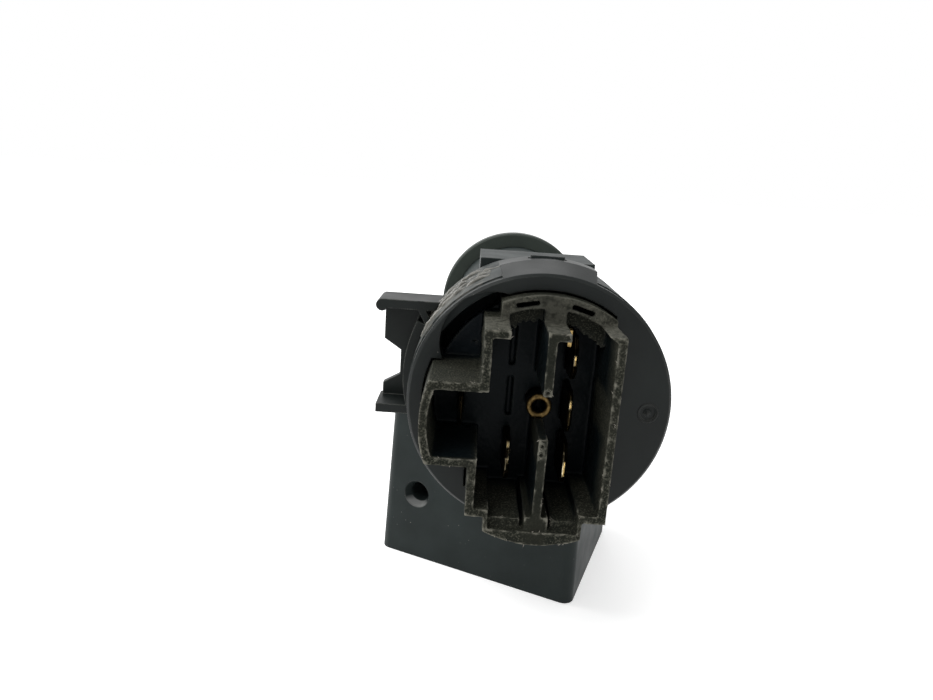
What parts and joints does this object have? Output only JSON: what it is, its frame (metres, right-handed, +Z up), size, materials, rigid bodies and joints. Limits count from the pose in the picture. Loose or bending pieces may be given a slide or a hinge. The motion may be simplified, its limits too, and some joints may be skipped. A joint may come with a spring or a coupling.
{
  "type": "ignition switch",
  "caption": "Ignition switch with key lock: round flange with a T-shaped plug socket, flat blade contacts, a barrel with a key plug, and a drafted block that holds a key interlock.",
  "frame": {"origin": "on the lock axis, level with the rear face of the round flange", "axes": "+Y along the lock axis from the plug socket to the key, +X to the right seen from the socket, +Z up, away from the block's foot"},
  "size_m": [0.0473, 0.099, 0.0618],
  "materials": {
    "black_coat": "satin black coat on a casting",
    "black_plastic": "satin black moulded plastic",
    "socket_plastic": "rough brown-black moulded plastic",
    "brass": "dull stamped brass",
    "copper": "bare copper",
    "steel": "bright steel",
    "zinc": "die-cast zinc"
  },
  "bodies": {
    "housing": {"lock_housing": "black_coat", "cable_bracket": "black_plastic", "block_cover": "black_plastic", "cover_screws": "steel", "flange_cap": "black_plastic", "connector_shroud": "socket_plastic", "eyelet": "brass", "terminal_upper": "brass", "terminal_middle": "brass", "terminal_lower_right": "brass", "terminal_lower_left": "brass", "terminal_arm": "brass", "link_strip": "brass", "front_bezel": "black_plastic", "return_spring": "steel", "yoke": "steel", "bobbin": "black_plastic", "coil": "copper", "plunger_spring": "steel"},
    "key_plug": {"lock_plug": "zinc", "plug_circlip": "steel", "wafer_1": "brass", "wafer_2": "brass", "wafer_3": "brass", "wafer_4": "brass", "wafer_5": "brass", "wafer_6": "brass", "wafer_springs": "steel", "drive_shaft": "zinc", "contact_rotor": "black_plastic", "long_spring": "steel", "short_spring": "steel", "shutter_pin": "steel", "shutter_spring": "steel"},
    "shutter": {"key_shutter": "steel"},
    "long_contact": {"bridge_long": "copper"},
    "short_contact": {"bridge_short": "copper"},
    "interlock": {"interlock_plunger": "steel"}
  },
  "joints": [
    {"name": "key_turn", "type": "hinge", "parent": "housing", "child": "key_plug", "pos_m": [0, 0.046, 0], "axis": [0, -1, 0], "range_deg": [0, 110]},
    {"name": "shutter_swing", "type": "hinge", "parent": "key_plug", "child": "shutter", "pos_m": [0, 0.086, 0.0059], "axis": [-1, 0, 0], "range_deg": [0, 85], "stiffness_Nm_per_rad": 0.0004, "springref_deg": -11.46},
    {"name": "long_press", "type": "slide", "parent": "key_plug", "child": "long_contact", "axis": [0, 1, 0], "range_m": [0, 0.0005], "stiffness_N_per_m": 400, "deforming": ["long_spring"]},
    {"name": "short_press", "type": "slide", "parent": "key_plug", "child": "short_contact", "axis": [0, 1, 0], "range_m": [0, 0.0005], "stiffness_N_per_m": 400, "deforming": ["short_spring"]},
    {"name": "interlock_lift", "type": "slide", "parent": "housing", "child": "interlock", "axis": [0, 0, 1], "range_m": [0, 0.0022], "stiffness_N_per_m": 150, "deforming": ["plunger_spring"]}
  ]
}
